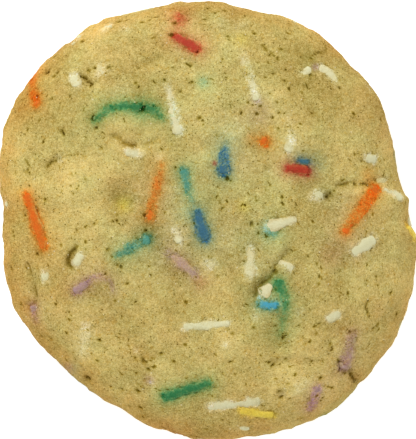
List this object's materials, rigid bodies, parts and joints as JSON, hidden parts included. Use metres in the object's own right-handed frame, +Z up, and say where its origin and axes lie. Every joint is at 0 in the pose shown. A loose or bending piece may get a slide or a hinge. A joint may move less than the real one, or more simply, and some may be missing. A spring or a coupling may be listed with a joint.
{
  "type": "birthday cake cookie",
  "caption": "Soft round sugar cookie with coloured rod sprinkles baked into its low domed top; it lies flat on its underside.",
  "frame": {"origin": "middle of the flat underside, under the middle of the outline's bounding box", "axes": "+Z up through the domed top; seen from above, +X points right and +Y up the page, with the longer way across the oval nearest to Y"},
  "size_m": [0.0627, 0.0657, 0.0104],
  "materials": {
    "crumb": "soft golden baked crumb, matt and finely pored",
    "sprinkle_orange": "baked sugar rod, satin, filmed with crumb",
    "sprinkle_red": "baked sugar rod, satin, filmed with crumb",
    "sprinkle_green": "baked sugar rod, satin, filmed with crumb",
    "sprinkle_blue": "baked sugar rod, satin, filmed with crumb",
    "sprinkle_sky_blue": "baked sugar rod, satin, filmed with crumb",
    "sprinkle_teal": "baked sugar rod, satin, filmed with crumb",
    "sprinkle_lavender": "baked sugar rod, satin, filmed with crumb",
    "sprinkle_yellow": "baked sugar rod, satin, filmed with crumb",
    "sprinkle_white": "baked sugar rod, satin, filmed with crumb"
  },
  "bodies": {
    "root": {"cookie": "crumb"}
  },
  "joints": []
}
